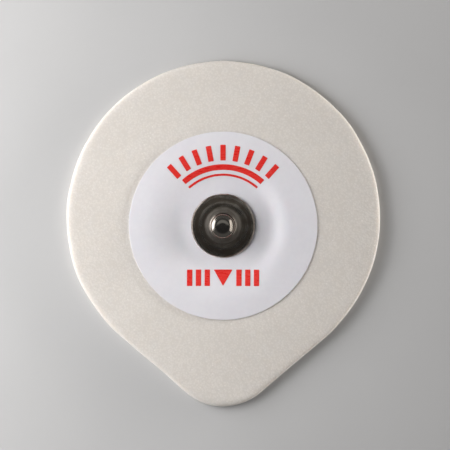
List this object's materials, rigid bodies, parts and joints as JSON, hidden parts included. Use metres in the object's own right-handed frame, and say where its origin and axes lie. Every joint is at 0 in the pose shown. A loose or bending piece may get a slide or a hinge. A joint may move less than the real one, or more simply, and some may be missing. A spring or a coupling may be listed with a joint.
{
  "type": "ecg electrode",
  "caption": "Disposable snap electrode: a teardrop foam pad with a pull tab, a round dished label, a drawn metal snap stud, and a gel-covered sensor on the skin side.",
  "frame": {"origin": "on the stud's axis, in the plane of the skin side", "axes": "+Z away from the skin along the stud's axis; -Y towards the pull tab; +X to the right when the tab points towards the viewer"},
  "size_m": [0.05, 0.0551, 0.0045],
  "materials": {
    "foam": "soft closed-cell polyethylene foam, off-white",
    "adhesive": "clear tacky acrylic coat",
    "gel": "wet translucent set gel",
    "sensor": "moulded plastic with a matt silver chloride coat",
    "label": "satin white film",
    "ink": "one coat of red ink",
    "stud": "drawn, polished and nickel plated"
  },
  "bodies": {
    "root": {"foam_pad": "foam", "skin_adhesive": "adhesive", "gel_disc": "gel", "sensor_eyelet": "sensor", "top_label": "label", "label_print": "ink", "snap_stud": "stud"}
  },
  "joints": []
}
